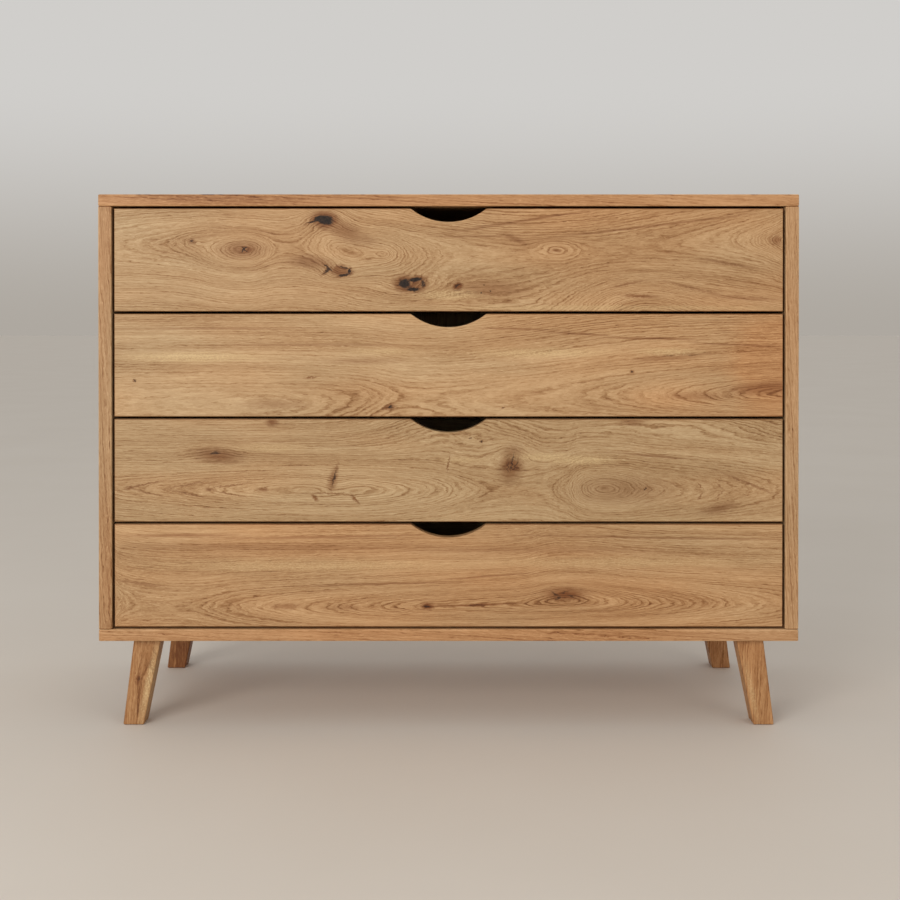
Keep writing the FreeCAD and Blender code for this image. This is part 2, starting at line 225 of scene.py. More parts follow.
# How much each layer of the figure darkens the wood
FIGURE_WEIGHTS = {
    "lines": 0.26,
    "bands": 0.75,
    "strands": 0.55,
    "blotch": 0.40,
    "fibre": 0.75,
    "pores": 0.20,
    "rays": -0.22,
}
TONE_STEP = -0.2
GLOSS = 0.25
RELIEF_DEPTH = 0.4 * MM
OAK_BUMP = 0.35

# How much the rings stand out around an eye, and how dark the painted shade along an arris is
EYE_CLEARNESS = 0.6
ARRIS_SHADE = 0.7
ARRIS_WIDTH = 2.0 * MM
ARRIS_DEPTH = 3.0 * MM

# The pith's distance behind the face, in mm, at the top of its curve
PITH_SCALE = 100

# The black marks' brown rim: how far out it ends, in radii, and its strength
RIM_REACH = 2.4
RIM_STRENGTH = 0.8

# Boards glued up from staves: half width and brownness of a glue line, and the painted
# shade in the groove where a board's end meets another board: where it starts and ends
GLUE_LINE = 0.25 * MM
GLUE_BROWN = 0.35
JOINT_START = 2.4 * MM
JOINT_END = 1.0 * MM
JOINT_SHADE = 0.9


def make_oak_group():
    """Colour, roughness and relief of oak at a point of a board with a known ring number."""
    inputs = {
        "Along": FLOAT, "Across": FLOAT, "Depth": FLOAT, "Rings": FLOAT, "Seed": FLOAT,
        "Tone": FLOAT, "Warmth": FLOAT, "Contrast": FLOAT, "Clear": FLOAT, "End": FLOAT,
        "Black": FLOAT, "Brown": FLOAT, "Pale": FLOAT,
    }
    outputs = {"Color": COLOUR, "Roughness": FLOAT, "Height": FLOAT}
    graph, given, result = new_group("oak", inputs, outputs)
    along, across, depth = given["Along"], given["Across"], given["Depth"]
    seed = given["Seed"]

    def field(x, y, z, scales, detail, roughness=0.5, shift=0.0):
        """Noise about zero, with this many waves to a metre or a ring in each direction."""
        place = graph.vector(
            graph.add(graph.times(x, scales[0]), seed),
            graph.add(graph.times(y, scales[1]), shift),
            graph.times(z, scales[2]))
        return graph.minus(graph.noise(place, detail=detail, roughness=roughness), 0.5)

    # Growth rings: a dark porous line at the start of each year, fading into dense wood
    uneven = field(along, given["Rings"], depth, (2.0, 0.35, 9.0), 2.0)
    wobble = field(along, across, depth, (45.0, 170.0, 170.0), 2.0, 0.5, 5.0)
    rings = graph.add(given["Rings"], graph.times(uneven, 2.2), graph.times(wobble, 1.1))
    year = graph.math("FRACT", rings)
    line = graph.times(graph.rise(year, 0.0, 0.18), graph.rise(year, 0.72, 0.18))
    patches = field(along, rings, depth, (4.0, 0.9, 9.0), 3.0, 0.6, 7.0)
    strength = graph.rise(patches, -0.14, 0.2)
    lines = graph.times(line, graph.add(graph.times(strength, 0.9), given["Clear"], 0.1))
    bands = field(along, rings, depth, (1.4, 0.17, 9.0), 3.0, 0.55, 19.0)

    # Fibres and pores follow the rings, and pores gather in the dark line
    strands = field(along, rings, across, (16.0, 1.9, 90.0), 3.0, 0.65, 31.0)
    fibre = field(along, rings, across, (60.0, 3.4, 420.0), 3.0, 0.7, 3.0)
    pits = field(along, rings, across, (95.0, 4.4, 520.0), 1.0, 0.5, 11.0)
    pores = graph.times(graph.rise(pits, 0.07, 0.2), graph.add(graph.times(line, 0.75), 0.25))
    blotch = field(along, across, depth, (3.2, 13.0, 13.0), 2.0, 0.5, 23.0)
    flakes = field(along, rings, across, (110.0, 3.0, 700.0), 1.0, 0.5, 41.0)
    rays = graph.times(graph.rise(flakes, 0.1, 0.22), graph.rise(blotch, -0.06, 0.12))

    layers = {"lines": lines, "bands": bands, "strands": strands, "blotch": blotch,
              "fibre": fibre, "pores": pores, "rays": rays}
    figure = graph.add(*(graph.times(layers[name], weight)
                         for name, weight in FIGURE_WEIGHTS.items()))
    dark = graph.add(
        0.50,
        graph.times(figure, given["Contrast"]),
        graph.times(given["Tone"], TONE_STEP))
    wood = graph.ramp(dark, OAK_STOPS)
    hue = field(along, across, depth, (2.1, 9.0, 9.0), 2.0, 0.5, 57.0)
    warm = graph.add(graph.times(hue, 1.5), given["Warmth"], 0.5)
    wood = graph.mix(1.0, wood, graph.mix(warm, COOL_TINT, WARM_TINT), "MULTIPLY")

    # Sawn ends show the same rings, darker, with the pores as dots
    dots = field(along, across, depth, (0.0, 1400.0, 1400.0), 2.0, 0.6, 5.0)
    end_shade = graph.add(
        0.62,
        graph.times(lines, -0.16),
        graph.times(graph.rise(dots, 0.06, 0.18), -0.16))
    sawn = graph.mix(1.0, wood, graph.vector(end_shade, end_shade, end_shade), "MULTIPLY")
    wood = graph.mix(given["End"], wood, sawn)

    # Knots, cracks and pale sapwood
    stained = graph.mix(given["Brown"], wood, KNOT_STAIN, "MULTIPLY")
    flecks = field(along, across, depth, (230.0, 520.0, 300.0), 2.0, 0.6, 73.0)
    paleness = graph.blend(graph.rise(flecks, -0.04, 0.12), 0.35, 0.85)
    faded = graph.mix(graph.times(given["Pale"], paleness), stained, KNOT_PALE)
    mottle = field(along, across, depth, (260.0, 420.0, 420.0), 3.0, 0.6, 67.0)
    filler = graph.mix(graph.rise(mottle, -0.12, 0.2), KNOT_BLACK, KNOT_GREY)
    graph.feed(result["Color"], graph.mix(given["Black"], faded, filler))

    graph.feed(result["Roughness"], graph.add(
        0.50,
        graph.times(lines, 0.08),
        graph.times(fibre, 0.10),
        graph.times(given["End"], 0.1)))
    relief = graph.add(
        graph.times(pores, -0.6),
        graph.times(lines, -0.25),
        graph.times(fibre, 0.3),
        graph.times(given["Black"], -1.2))
    graph.feed(result["Height"], relief)
    return graph.tree


OAK = make_oak_group()


def new_material(name):
    material = bpy.data.materials.new(name)
    material.use_nodes = True
    shader = material.node_tree.nodes["Principled BSDF"]
    return material, Graph(material.node_tree), shader


def paint(material, *nodes):
    """Gives CAD nodes one material in place of those they came with."""
    for name in nodes:
        slots = NODES[name].data.materials
        slots.clear()
        slots.append(material)


def board_axes(graph, low, axes):
    """Along, across and depth of a board, from its low corner, with its end-grain mask."""
    coordinates = graph.node("ShaderNodeTexCoord")
    offset = graph.vector_math("SUBTRACT", coordinates.outputs["Object"], tuple(low))
    places = dict(zip("XYZ", graph.parts(offset)))
    facing = dict(zip("XYZ", graph.parts(coordinates.outputs["Normal"])))
    along, across, depth = (places[axis] for axis in axes)
    end = graph.rise(graph.math("ABSOLUTE", facing[axes[0]]), 0.6, 0.8)
    return along, across, depth, end


def growth_rings(graph, place, pith, spacing, wander, seed):
    """Ring number at a place: how far it lies from the pith, with a slow wander."""
    along, across, depth = place
    aside = graph.minus(across, pith[0])
    below = graph.add(depth, pith[1])
    radius = graph.math("SQRT", graph.add(graph.times(aside, aside), graph.times(below, below)))
    slow = graph.vector(
        graph.add(graph.times(along, 1.3), seed),
        graph.times(across, 9.0),
        graph.times(depth, 9.0))
    drift = graph.times(graph.minus(graph.noise(slow, detail=2.0), 0.5), wander)
    return graph.add(graph.math("DIVIDE", radius, spacing), drift)


def ellipse_distance(graph, point, centre, half_sizes, turn):
    """Distance from an ellipse with half sizes in mm, turned by degrees, 1 on its outline."""
    found = graph.group(ELLIPSE, Point=point, Centre=(*centre, 0.0),
                        Radii=(half_sizes[0] * MM, half_sizes[1] * MM, 1.0),
                        Turn=math.radians(-turn))
    return found["Distance"]


def strayed(graph, along, across, seed, scales, reach, detail):
    """A point of the board's face, moved about by noise."""
    place = graph.vector(graph.times(along, scales[0]), graph.times(across, scales[1]), seed)
    noise = graph.noise(place, detail=detail, roughness=0.6, colour=True)
    offset = graph.vector_math("MULTIPLY", graph.vector_math("SUBTRACT", noise, (0.5, 0.5, 0.5)),
                               (reach[0] * MM, reach[1] * MM, 0.0))
    return graph.vector_math("ADD", graph.vector(along, across, 0.0), offset)


def wavy_point(graph, along, across, seed):
    return strayed(graph, along, across, seed, (26.0, 90.0), (14, 5), 2.0)


def draw_marks(graph, along, across, seed, marks):
    """How much black, brown, pale and warm colour the marks lay on the wood.

    Each mark is a kind, its place on the board in metres, half length and half height in
    mm, turn in degrees, softness and strength.
    """
    wavy = wavy_point(graph, along, across, seed)
    ragged = strayed(graph, along, across, seed, (160.0, 260.0), (11, 8), 3.0)
    cover = {"Black": 0.0, "Brown": 0.0, "Pale": 0.0, "Warm": 0.0}
    for kind, x, y, half_length, half_height, turn, softness, strength in marks:
        point = wavy if half_length > LONG_MARK else ragged
        away = ellipse_distance(graph, point, (x, y), (half_length, half_height), turn)
        mask = graph.times(graph.rise(away, 1 + softness * 0.5, 1 - softness), strength)
        cover[kind] = graph.math("MAXIMUM", cover[kind], mask)
        if kind == "Black":
            rim = graph.times(graph.rise(away, RIM_REACH, 1.0), strength * RIM_STRENGTH)
            cover["Brown"] = graph.math("MAXIMUM", cover["Brown"], rim)
    return cover


def finish_oak(graph, shader, bump, **values):
    """Joins the oak group to the shader."""
    oak = graph.group(OAK, **values)
    graph.feed(shader.inputs["Base Color"], oak["Color"])
    graph.feed(shader.inputs["Roughness"], oak["Roughness"])
    relief = graph.node("ShaderNodeBump")
    relief.inputs["Strength"].default_value = bump
    relief.inputs["Distance"].default_value = RELIEF_DEPTH
    graph.feed(relief.inputs["Height"], oak["Height"])
    graph.feed(shader.inputs["Normal"], relief.outputs[0])
    shader.inputs["Specular IOR Level"].default_value = GLOSS


# Drawer fronts.  Places are shares of the front: from its left end, and down from its top.
# pith: place of the middle of the rings along the board, and how far behind the face, in mm
# eyes: place, half length and half height in mm, turn, how far they part the grain, rings inside
# marks: kind, place, half length and half height in mm, turn in degrees, softness, strength
FRONTS = {
    1: {
        "pith": ((0.0, 0.36, 46), (0.10, 0.35, 34), (0.193, 0.40, 18), (0.25, 0.38, 32),
                 (0.32, 0.38, 30), (0.38, 0.42, 32), (0.47, 0.40, 50), (0.65, 0.42, 62),
                 (0.85, 0.34, 58), (0.93, 0.31, 50), (1.0, 0.31, 26)),
        "spacing": 3.4, "wander": 4.0, "tone": (0.55, 0.20), "warmth": (-0.35, 0.05),
        "seed": 3.1,
        "eyes": (
            (0.193, 0.40, 40, 20, 0, 0.3, -5.0),
            (0.117, 0.32, 20, 11, 0, 0.4, -2.0),
            (0.315, 0.12, 40, 26, 0, 0.5, -6.0),
            (0.335, 0.60, 36, 20, 0, 0.5, -5.0),
            (0.335, 0.36, 46, 22, -38, 0.0, -3.0),
            (0.388, 0.43, 84, 34, -8, 0.0, -7.0),
            (0.404, 0.44, 14, 9, 0, 0.0, -2.5),
            (1.000, 0.31, 44, 15, 0, 0.0, -5.0),
            (0.445, 0.735, 50, 24, 0, 0.6, -5.0),
            (0.663, 0.40, 34, 16, 0, 0.4, -4.0),
            (0.600, 1.05, 260, 50, 0, 0.0, -10.0),
            (0.560, 0.10, 260, 40, 0, 0.0, 5.0),
            (0.785, 0.98, 110, 55, 0, 0.0, 14.0),
        ),
        "marks": (
            ("Brown", 0.117, 0.32, 6, 5, 0, 0.8, 0.7),
            ("Black", 0.117, 0.32, 2.8, 2.4, 0, 0.4, 0.8),
            ("Brown", 0.193, 0.40, 42, 16, 0, 0.9, 0.6),
            ("Brown", 0.197, 0.40, 22, 10, 0, 0.7, 0.8),
            ("Black", 0.194, 0.40, 7, 1.1, 45, 0.4, 0.95),
            ("Black", 0.195, 0.40, 6, 1.1, -40, 0.4, 0.95),
            ("Black", 0.316, 0.11, 14, 9, -8, 0.3, 1.0),
            ("Black", 0.306, 0.10, 9, 5, 10, 0.3, 1.0),
            ("Black", 0.297, 0.125, 10, 1.6, 20, 0.4, 0.9),
            ("Brown", 0.314, 0.11, 26, 16, 0, 0.8, 0.7),
            ("Brown", 0.345, 0.22, 46, 17, -28, 0.9, 0.6),
            ("Brown", 0.375, 0.30, 24, 10, -20, 0.9, 0.4),
            ("Black", 0.320, 0.575, 9, 1.7, -46, 0.5, 0.85),
            ("Black", 0.319, 0.600, 8, 1.7, 40, 0.5, 0.8),
            ("Black", 0.344, 0.575, 10, 1.3, -16, 0.5, 0.8),
            ("Black", 0.344, 0.645, 10, 2.0, 14, 0.4, 0.95),
            ("Black", 0.352, 0.610, 2.4, 5, 0, 0.4, 0.95),
            ("Brown", 0.338, 0.60, 18, 11, 0, 0.5, 0.85),
            ("Brown", 0.295, 0.52, 40, 12, -6, 0.9, 0.6),
            ("Black", 0.434, 0.73, 11, 9, -10, 0.4, 1.0),
            ("Black", 0.449, 0.69, 13, 3.6, 8, 0.4, 1.0),
            ("Black", 0.447, 0.785, 12, 4.2, -4, 0.4, 1.0),
            ("Black", 0.462, 0.73, 3, 7, 0, 0.5, 0.85),
            ("Brown", 0.446, 0.74, 28, 15, 0, 0.6, 0.75),
            ("Brown", 0.514, 0.755, 11, 8, 10, 0.6, 1.0),
            ("Black", 0.513, 0.75, 5, 2.6, 30, 0.5, 0.75),
            ("Pale", 0.500, 0.84, 60, 10, 0, 0.8, 0.7),
            ("Pale", 0.730, 0.965, 300, 5, 0, 0.8, 0.45),
            ("Black", 0.553, 0.74, 1.8, 1.2, 0, 0.5, 0.8),
            ("Black", 0.548, 0.82, 1.5, 1.2, 0, 0.5, 0.8),
            ("Black", 0.563, 0.80, 1.5, 1.2, 0, 0.5, 0.7),
            ("Brown", 0.565, 0.78, 60, 15, 0, 0.9, 0.5),
            ("Brown", 0.610, 0.12, 130, 3.0, 9, 0.9, 0.65),
            ("Brown", 0.540, 0.27, 90, 2.0, 1, 0.9, 0.5),
            ("Brown", 0.800, 0.17, 180, 2.6, 6.5, 0.9, 0.6),
            ("Brown", 0.597, 0.29, 26, 6, -22, 0.9, 0.55),
            ("Brown", 0.660, 0.41, 14, 4, 0, 0.9, 0.5),
            ("Brown", 0.770, 0.73, 34, 2.6, 12, 0.9, 0.6),
            ("Brown", 0.785, 0.85, 34, 3.5, -3, 0.9, 0.8),
            ("Brown", 0.870, 0.78, 60, 3.0, -14, 0.9, 0.5),
            ("Brown", 0.945, 0.87, 60, 4.0, -3, 0.9, 0.5),
            ("Brown", 0.990, 0.31, 12, 9, 0, 0.9, 0.7),
            ("Brown", 0.915, 0.53, 50, 3, -11, 0.9, 0.6),
        ),
    },
    2: {
        "pith": ((0.0, 0.90, 44), (0.25, 0.89, 46), (0.36, 0.90, 48), (0.45, 0.92, 60),
                 (0.60, 0.86, 62), (0.74, 0.80, 54), (0.86, 0.78, 45), (1.0, 0.76, 36)),
        "spacing": 3.6, "wander": 2.0, "tone": (0.60, 0.30), "warmth": (-0.40, 0.10),
        "seed": 11.7,
        "eyes": (
            (0.410, 1.00, 110, 34, 0, 0.0, 5.0),
            (0.800, 0.10, 260, 40, 0, 0.0, -3.0),
            (1.010, 0.78, 200, 26, 0, 0.0, -8.0),
        ),
        "marks": (
            ("Black", 0.031, 0.65, 2.2, 1.6, 0, 0.5, 0.85),
            ("Black", 0.775, 0.56, 2.2, 1.6, 0, 0.5, 0.85),
            ("Black", 0.581, 0.915, 2.0, 1.4, 0, 0.5, 0.8),
            ("Brown", 0.293, 0.62, 12, 1.6, 3, 0.6, 0.8),
            ("Black", 0.413, 0.905, 4.5, 3.4, 0, 0.5, 0.85),
            ("Brown", 0.411, 0.91, 13, 5, 10, 0.8, 0.9),
            ("Brown", 0.240, 0.88, 60, 10, 0, 0.9, 0.4),
            ("Warm", 0.985, 0.55, 70, 90, 0, 0.9, 0.9),
            ("Warm", 0.840, 0.80, 90, 30, 0, 0.9, 0.5),
            ("Brown", 0.600, 0.145, 70, 2.0, -1.8, 0.9, 0.6),
            ("Brown", 0.695, 0.195, 62, 2.0, -4, 0.9, 0.7),
            ("Brown", 0.800, 0.238, 95, 2.0, -1.2, 0.9, 0.7),
            ("Brown", 0.930, 0.300, 90, 1.8, -2.6, 0.9, 0.6),
            ("Brown", 0.370, 0.46, 66, 6, 0, 0.9, 0.4),
            ("Pale", 0.120, 0.42, 120, 10, 0, 0.9, 0.8),
            ("Pale", 0.400, 0.37, 60, 6, 0, 0.9, 0.5),
            ("Pale", 0.640, 0.38, 120, 9, 0, 0.9, 0.7),
            ("Pale", 0.830, 0.37, 60, 7, 0, 0.9, 0.7),
            ("Brown", 0.150, 0.14, 170, 3.0, 0, 0.9, 0.4),
            ("Brown", 0.300, 0.30, 170, 2.5, 0, 0.9, 0.4),
            ("Brown", 0.870, 0.80, 60, 8, 0, 0.9, 0.45),
            ("Brown", 0.975, 0.72, 70, 12, 5, 0.9, 0.65),
            ("Brown", 0.830, 0.42, 60, 7, 5, 0.9, 0.45),
        ),
    },
    3: {
        "pith": ((0.0, 0.66, 34), (0.14, 0.68, 30), (0.26, 0.69, 26), (0.36, 0.70, 26),
                 (0.45, 0.70, 34), (0.60, 0.68, 52), (0.675, 0.68, 40), (0.732, 0.68, 14),
                 (0.80, 0.69, 26), (0.88, 0.69, 38), (1.0, 0.70, 54)),
        "spacing": 3.3, "wander": 3.0, "tone": (0.25, 0.15), "warmth": (-0.50, -0.45),
        "seed": 23.9,
        "eyes": (
            (0.151, 0.35, 50, 18, 0, 0.6, -2.0),
            (0.330, 0.60, 26, 24, 0, 0.4, 2.0),
            (0.595, 0.43, 36, 30, 0, 0.7, -2.0),
            (0.733, 0.68, 36, 18, 0, 0.0, -4.0),
            (0.310, 0.69, 250, 28, 0, 0.0, -7.0),
            (0.520, -0.06, 150, 62, 0, 0.0, -15.0),
            (0.850, 0.00, 210, 28, 0, 0.0, -8.0),
        ),
        "marks": (
            ("Brown", 0.155, 0.36, 46, 14, -4, 0.9, 0.8),
            ("Brown", 0.158, 0.37, 26, 8, -6, 0.8, 0.8),
            ("Black", 0.151, 0.33, 9, 3.0, 5, 0.6, 0.75),
            ("Brown", 0.023, 0.67, 8, 4, 0, 0.8, 0.8),
            ("Brown", 0.049, 0.630, 36, 1.4, 12, 0.8, 0.7),
            ("Brown", 0.049, 0.715, 36, 1.2, -14, 0.8, 0.5),
            ("Brown", 0.108, 0.640, 38, 1.4, 11, 0.8, 0.6),
            ("Brown", 0.106, 0.722, 36, 1.2, -13, 0.8, 0.6),
            ("Brown", 0.143, 0.685, 10, 3, 0, 0.8, 0.7),
            ("Brown", 0.172, 0.645, 40, 1.2, 8, 0.8, 0.6),
            ("Brown", 0.170, 0.725, 38, 1.2, -12, 0.8, 0.6),
            ("Brown", 0.222, 0.684, 10, 4, 0, 0.8, 0.85),
            ("Brown", 0.236, 0.03, 12, 8, 0, 0.8, 0.85),
            ("Black", 0.329, 0.57, 15, 1.9, 76, 0.6, 0.8),
            ("Brown", 0.327, 0.59, 22, 8, 76, 0.9, 0.8),
            ("Brown", 0.300, 0.765, 8, 3.5, -40, 0.8, 0.9),
            ("Brown", 0.360, 0.778, 12, 2.8, -48, 0.8, 0.9),
            ("Brown", 0.322, 0.722, 34, 1.5, 0, 0.8, 0.75),
            ("Brown", 0.500, 0.43, 16, 1.6, 80, 0.6, 0.8),
            ("Black", 0.549, 0.22, 2.0, 1.4, 0, 0.5, 0.8),
            ("Black", 0.532, 0.19, 1.6, 1.2, 0, 0.5, 0.7),
            ("Brown", 0.594, 0.44, 34, 22, 80, 0.8, 0.85),
            ("Brown", 0.596, 0.42, 26, 12, 78, 0.7, 0.8),
            ("Black", 0.595, 0.42, 18, 1.5, 78, 0.6, 0.7),
            ("Black", 0.600, 0.45, 10, 1.3, 60, 0.6, 0.6),
            ("Black", 0.589, 0.47, 10, 1.2, 84, 0.6, 0.6),
            ("Pale", 0.640, 0.37, 70, 8, 0, 0.9, 0.6),
            ("Pale", 0.700, 0.40, 60, 9, 0, 0.9, 0.7),
            ("Pale", 0.230, 0.28, 60, 8, 0, 0.9, 0.4),
            ("Pale", 0.520, 0.40, 40, 6, 0, 0.9, 0.4),
            ("Black", 0.795, 0.68, 2.2, 1.8, 0, 0.5, 0.85),
            ("Brown", 0.795, 0.68, 16, 8, 0, 0.9, 0.6),
            ("Brown", 0.762, 0.69, 92, 25, 0, 0.9, 0.45),
            ("Brown", 0.735, 0.66, 18, 6, 0, 0.9, 0.55),
            ("Brown", 0.877, 0.655, 9, 1.5, -48, 0.8, 0.7),
            ("Brown", 0.877, 0.745, 9, 1.5, 48, 0.8, 0.7),
            ("Brown", 0.905, 0.650, 10, 1.4, -40, 0.8, 0.6),
            ("Brown", 0.905, 0.735, 10, 1.4, 40, 0.8, 0.6),
            ("Brown", 0.838, 0.640, 10, 1.3, -36, 0.8, 0.5),
            ("Brown", 0.905, 0.87, 36, 9, 12, 0.9, 0.6),
            ("Brown", 0.810, 0.36, 70, 2.4, -5, 0.9, 0.65),
            ("Brown", 0.950, 0.63, 60, 2.4, -22, 0.9, 0.6),
            ("Brown", 0.775, 0.03, 26, 7, 0, 0.9, 0.6),
        ),
    },
    4: {
        "pith": ((0.0, 0.76, 30), (0.09, 0.79, 50), (0.20, 0.81, 40), (0.34, 0.82, 30),
                 (0.47, 0.80, 24), (0.60, 0.78, 22), (0.67, 0.72, 12), (0.80, 0.76, 24),
                 (1.0, 0.77, 40)),
        "spacing": 3.4, "wander": 2.5, "tone": (0.20, 0.20), "warmth": (0.00, 0.10),
        "seed": 37.3,
        "eyes": (
            (0.675, 0.68, 40, 16, 0, 0.6, -2.0),
            (0.468, 0.80, 18, 8, 0, 0.5, -1.0),
            (0.450, 0.80, 300, 26, 0, 0.0, -7.0),
            (0.690, 0.76, 240, 30, 0, 0.0, -8.0),
        ),
        "marks": (
            ("Brown", 0.468, 0.80, 13, 7, 0, 0.7, 0.95),
            ("Black", 0.467, 0.80, 6, 2.6, 0, 0.6, 0.8),
            ("Brown", 0.540, 0.785, 86, 2.2, 2, 0.8, 0.85),
            ("Brown", 0.675, 0.68, 40, 12, 0, 0.8, 0.85),
            ("Brown", 0.672, 0.68, 24, 8, 0, 0.7, 0.9),
            ("Black", 0.660, 0.68, 8, 2.0, -32, 0.7, 0.7),
            ("Black", 0.664, 0.72, 5, 2.2, 30, 0.7, 0.7),
            ("Black", 0.673, 0.665, 10, 1.5, 14, 0.7, 0.6),
            ("Black", 0.684, 0.70, 9, 1.7, -18, 0.7, 0.55),
            ("Brown", 0.400, 0.580, 150, 2.2, 1.6, 0.9, 0.6),
            ("Brown", 0.560, 0.505, 76, 2.0, 4, 0.9, 0.6),
            ("Brown", 0.300, 0.135, 230, 2.0, 0, 0.9, 0.4),
            ("Brown", 0.100, 0.11, 100, 3.0, 0, 0.9, 0.6),
            ("Brown", 0.330, 0.12, 170, 2.4, 1, 0.9, 0.6),
            ("Brown", 0.800, 0.13, 230, 2.2, -1, 0.9, 0.6),
            ("Brown", 0.250, 0.22, 300, 7, 0, 0.9, 0.3),
            ("Brown", 0.620, 0.25, 260, 7, 0, 0.9, 0.3),
            ("Pale", 0.300, 0.40, 300, 12, 0, 0.9, 0.5),
            ("Pale", 0.750, 0.37, 260, 10, 0, 0.9, 0.45),
            ("Brown", 0.040, 0.58, 50, 3, -9, 0.9, 0.5),
            ("Brown", 0.255, 0.80, 26, 6, 0, 0.9, 0.6),
            ("Brown", 0.345, 0.81, 30, 5, 0, 0.9, 0.4),
        ),
    },
}


def painted_arris_shade(graph, place, length, height):
    """Painted shade along the arrises around the face of a front, beside the gaps, partly the darker
    colour of an oiled arris.
    """
    along, across, depth = place
    from_ends = graph.minus(length / 2, graph.math("ABSOLUTE", graph.minus(along, length / 2)))
    from_edges = graph.minus(height / 2, graph.math("ABSOLUTE", graph.minus(across, height / 2)))
    nearest = graph.math("MINIMUM", from_ends, from_edges)
    edge = graph.rise(nearest, ARRIS_WIDTH, 0.3 * ARRIS_WIDTH)
    return graph.times(edge, graph.rise(depth, ARRIS_DEPTH, ARRIS_DEPTH / 3), ARRIS_SHADE)


def paint_front(number):
    """Oak in one board, with the front's own pith, eyes and marks."""
    name = f"drawer_{number}_front"
    look = FRONTS[number]
    low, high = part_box(name)
    length, height = high.x - low.x, high.z - low.z
    material, graph, shader = new_material(f"oak_front_{number}")
    along, across, depth, end = board_axes(graph, low, "XZY")

    point = wavy_point(graph, along, across, look["seed"])
    parted, extra, clear = across, [], 0.0
    for u, v, half_length, half_height, turn, spread, count in look["eyes"]:
        centre = (u * length, (1 - v) * height)
        away = ellipse_distance(graph, point, centre, (half_length, half_height), turn)
        swell = graph.math("EXPONENT", graph.times(away, away, -1.0))
        if spread:
            offset = graph.minus(across, centre[1])
            parted = graph.minus(parted, graph.times(offset, swell, spread))
        extra.append(graph.times(swell, count))
        clear = graph.math("MAXIMUM", clear, graph.times(swell, EYE_CLEARNESS))

    share = graph.math("DIVIDE", along, length)
    level = graph.curve(share, [(u, 1 - v) for u, v, _ in look["pith"]])
    hidden = graph.curve(share, [(u, behind / PITH_SCALE) for u, _, behind in look["pith"]])
    pith = (graph.times(level, height), graph.times(hidden, PITH_SCALE * MM))
    rings = growth_rings(graph, (along, parted, depth), pith, look["spacing"] * MM,
                         look["wander"], look["seed"])
    rings = graph.add(rings, *extra)

    marks = [(kind, u * length, (1 - v) * height, *shape) for kind, u, v, *shape in look["marks"]]
    cover = draw_marks(graph, along, across, look["seed"], marks)
    # Painted shade along the arrises beside the gaps, partly the darker oiled arris
    shade = painted_arris_shade(graph, (along, across, depth), length, height)
    cover["Brown"] = graph.math("MAXIMUM", cover["Brown"], shade)
    warmth = graph.add(graph.blend(share, *look["warmth"]), cover.pop("Warm"))
    finish_oak(graph, shader, OAK_BUMP, Along=along, Across=parted, Depth=depth, Rings=rings,
               Seed=look["seed"], Tone=graph.blend(share, *look["tone"]),
               Warmth=warmth, Contrast=1.0, Clear=clear, End=end, **cover)
    paint(material, name)


def paint_boards(name, nodes, axes, low, stave, pith_depth=35, slope=0.02, spacing=4.5,
                 tone=0.0, warmth=0.0, contrast=1.0, seed=1.0, bump=OAK_BUMP, joint=0.0, marks=()):
    """Oak glued up from staves, each with its own figure and shade.

    A joint is the length of a board whose ends get painted shade where they meet other boards.
    Marks are placed in mm along and across the board from its low corner.
    """
    material, graph, shader = new_material(name)
    along, across, depth, end = board_axes(graph, low, axes)
    index = graph.math("FLOOR", graph.math("DIVIDE", across, stave))
    inner = graph.minus(across, graph.times(index, stave))
    chance = graph.random(graph.add(index, seed))
    shade = graph.minus(graph.random(graph.add(index, seed + 40.0)), 0.5)
    start = graph.add(graph.times(index, 7.31), seed)
    centre = graph.times(graph.add(graph.times(chance, 0.8), 0.1), stave)
    hidden = graph.add(graph.times(along, slope), pith_depth * MM)
    rings = growth_rings(graph, (along, inner, depth), (centre, hidden), spacing * MM, 4.0, start)
    from_middle = graph.math("ABSOLUTE", graph.minus(inner, stave / 2))
    seam = graph.times(graph.rise(from_middle, stave / 2 - GLUE_LINE, stave / 2), GLUE_BROWN)
    # Painted shade in the groove where the board's rounded ends meet other boards
    if joint:
        half = joint / 2
        away = graph.math("ABSOLUTE", graph.minus(along, half))
        joint_shade = graph.times(graph.rise(away, half - JOINT_START, half - JOINT_END), JOINT_SHADE)
        seam = graph.math("MAXIMUM", seam, joint_shade)
    placed = [(kind, x * MM, y * MM, *shape) for kind, x, y, *shape in marks]
    cover = draw_marks(graph, along, across, seed, placed)
    cover["Brown"] = graph.math("MAXIMUM", cover["Brown"], seam)
    warmth = graph.add(graph.times(shade, -0.8), warmth, cover.pop("Warm"))
    finish_oak(graph, shader, bump, Along=along, Across=across, Depth=depth, Rings=rings,
               Seed=start, Tone=graph.add(graph.times(shade, 1.4), tone),
               Warmth=warmth, Contrast=contrast, Clear=0.0, End=end, **cover)
    paint(material, *nodes)


# Up the leg and across it, in mm from the low corner of its box
LEG_MARKS = {
    "leg_front_left": (
        ("Brown", 79, 26, 13, 5, 10, 0.8, 0.8),
        ("Black", 80, 27, 5, 1.6, 30, 0.8, 0.6),
        ("Brown", 45, 26, 34, 1.8, 4, 0.8, 0.6),
        ("Brown", 98, 28, 30, 1.6, 12, 0.8, 0.5),
        ("Pale", 76, 45, 74, 7, 12, 0.9, 0.9),
    ),
    "leg_front_right": (
        ("Pale", 60, 26, 60, 6, -12, 0.9, 0.5),
    ),
}


